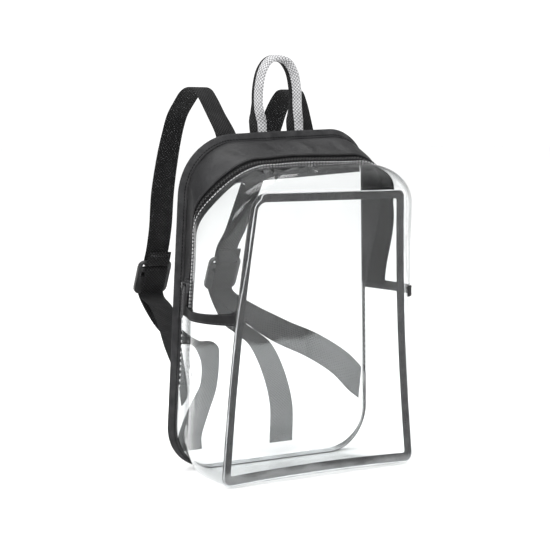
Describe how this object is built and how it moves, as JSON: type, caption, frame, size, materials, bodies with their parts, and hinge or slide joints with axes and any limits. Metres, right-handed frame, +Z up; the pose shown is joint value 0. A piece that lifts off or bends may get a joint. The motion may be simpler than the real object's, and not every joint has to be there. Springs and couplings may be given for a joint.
{
  "type": "clear backpack",
  "caption": "Small clear vinyl backpack with a curved zip, black bound seams, adjustable webbing shoulder straps with buckles and a grab handle.",
  "frame": {"origin": "middle of the base, on the floor under the bag", "axes": "+Z up, -Y out of the clear front panel, +Y out of the back where the straps are, +X to the right as the front is seen"},
  "size_m": [0.22, 0.2572, 0.3751],
  "materials": {
    "clear_vinyl": "clear flexible vinyl sheet",
    "black_cloth": "coated woven polyester",
    "black_tape": "woven binding tape",
    "black_webbing": "ribbed polypropylene webbing",
    "grey_webbing": "light grey woven webbing",
    "black_plastic": "moulded plastic",
    "zip_coil": "nylon coil",
    "zip_metal": "black lacquered zinc"
  },
  "bodies": {
    "bag": {"front_panel": "clear_vinyl", "front_tape": "black_tape", "gusset_upper_clear": "clear_vinyl", "gusset_lower_clear": "clear_vinyl", "gusset_fabric": "black_cloth", "zip_tape": "black_cloth", "zip_coil": "zip_coil", "side_band_left": "black_tape", "side_band_right": "black_tape", "back_panel": "clear_vinyl", "back_yoke": "black_cloth", "back_binding": "black_tape", "zip_slider": "zip_metal", "strap_upper_left": "black_webbing", "strap_lower_left": "black_webbing", "buckle_left": "black_plastic", "strap_upper_right": "black_webbing", "strap_lower_right": "black_webbing", "buckle_right": "black_plastic", "handle_light": "grey_webbing", "handle_dark": "black_webbing"},
    "zip_pull": {"zip_pull": "zip_metal"}
  },
  "joints": [
    {"name": "zip_pull_hinge", "type": "hinge", "parent": "bag", "child": "zip_pull", "pos_m": [-0.10477, 0.02258, 0.17136], "axis": [0.3681, 0.9067, 0.2058], "range_deg": [0, 150]}
  ]
}
